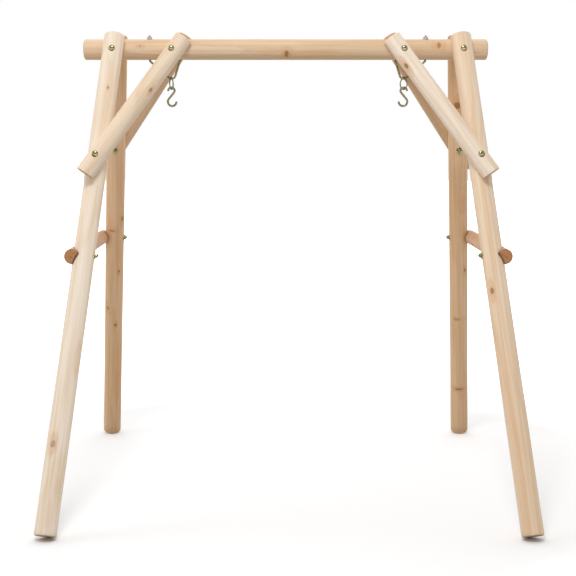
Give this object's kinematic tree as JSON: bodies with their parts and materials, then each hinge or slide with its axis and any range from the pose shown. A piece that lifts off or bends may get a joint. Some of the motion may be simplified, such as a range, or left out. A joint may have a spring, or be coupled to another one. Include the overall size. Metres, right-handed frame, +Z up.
{
  "type": "swing frame",
  "caption": "Free-standing frame of round wooden logs with splayed legs, a top beam, slanted braces and hanging S-hooks that carry a swing.",
  "frame": {"origin": "on the ground, in the middle of the whole frame seen from above", "axes": "+X along the top beam to the right, -Y to the front, +Z up"},
  "size_m": [1.8198, 1.6968, 1.8431],
  "materials": {
    "beam_wood": "peeled softwood log, planed round, untreated",
    "leg_wood": "peeled softwood log, planed round, untreated",
    "brace_wood": "peeled softwood log, planed round, untreated",
    "rail_wood": "peeled softwood log, planed round, untreated",
    "bolt_steel": "yellow zinc plating, satin",
    "swing_steel": "yellow zinc plating, slightly dulled"
  },
  "bodies": {
    "frame": {"brace_bolt_left": "bolt_steel", "brace_bolt_left_nut": "bolt_steel", "brace_bolt_left_washer": "bolt_steel", "brace_bolt_right": "bolt_steel", "brace_bolt_right_nut": "bolt_steel", "brace_bolt_right_washer": "bolt_steel", "brace_front_left": "brace_wood", "brace_front_right": "brace_wood", "brace_rear_left": "brace_wood", "brace_rear_right": "brace_wood", "hanger_inner_nut_left": "swing_steel", "hanger_inner_nut_right": "swing_steel", "hanger_left": "swing_steel", "hanger_outer_nut_left": "swing_steel", "hanger_outer_nut_right": "swing_steel", "hanger_outer_washer_left": "swing_steel", "hanger_outer_washer_right": "swing_steel", "hanger_right": "swing_steel", "knee_bolt_front_left": "bolt_steel", "knee_bolt_front_left_nut": "bolt_steel", "knee_bolt_front_left_washer": "bolt_steel", "knee_bolt_front_right": "bolt_steel", "knee_bolt_front_right_nut": "bolt_steel", "knee_bolt_front_right_washer": "bolt_steel", "knee_bolt_rear_left": "bolt_steel", "knee_bolt_rear_left_nut": "bolt_steel", "knee_bolt_rear_left_washer": "bolt_steel", "knee_bolt_rear_right": "bolt_steel", "knee_bolt_rear_right_nut": "bolt_steel", "knee_bolt_rear_right_washer": "bolt_steel", "leg_bolt_left": "bolt_steel", "leg_bolt_left_nut": "bolt_steel", "leg_bolt_left_washer": "bolt_steel", "leg_bolt_right": "bolt_steel", "leg_bolt_right_nut": "bolt_steel", "leg_bolt_right_washer": "bolt_steel", "leg_front_left": "leg_wood", "leg_front_right": "leg_wood", "leg_rear_left": "leg_wood", "leg_rear_right": "leg_wood", "rail_bolt_front_left": "bolt_steel", "rail_bolt_front_left_nut": "bolt_steel", "rail_bolt_front_left_washer": "bolt_steel", "rail_bolt_front_right": "bolt_steel", "rail_bolt_front_right_nut": "bolt_steel", "rail_bolt_front_right_washer": "bolt_steel", "rail_bolt_rear_left": "bolt_steel", "rail_bolt_rear_left_nut": "bolt_steel", "rail_bolt_rear_left_washer": "bolt_steel", "rail_bolt_rear_right": "bolt_steel", "rail_bolt_rear_right_nut": "bolt_steel", "rail_bolt_rear_right_washer": "bolt_steel", "side_rail_left": "rail_wood", "side_rail_right": "rail_wood", "top_beam": "beam_wood"},
    "link_body_left": {"link_left": "swing_steel"},
    "hook_body_left": {"s_hook_left": "swing_steel"},
    "link_body_right": {"link_right": "swing_steel"},
    "hook_body_right": {"s_hook_right": "swing_steel"}
  },
  "joints": [
    {"name": "link_swing_left", "type": "hinge", "parent": "frame", "child": "link_body_left", "pos_m": [-0.469, 0, 1.6555], "axis": [1, 0, 0], "range_deg": [-40, 40]},
    {"name": "hook_swing_left", "type": "hinge", "parent": "link_body_left", "child": "hook_body_left", "pos_m": [-0.469, 0, 1.61365], "axis": [0.2419, 0.9703, 0], "range_deg": [-35, 35]},
    {"name": "link_swing_right", "type": "hinge", "parent": "frame", "child": "link_body_right", "pos_m": [0.469, 0, 1.6555], "axis": [1, 0, 0], "range_deg": [-40, 40]},
    {"name": "hook_swing_right", "type": "hinge", "parent": "link_body_right", "child": "hook_body_right", "pos_m": [0.469, 0, 1.61365], "axis": [0.5446, -0.8387, 0], "range_deg": [-35, 35]}
  ]
}
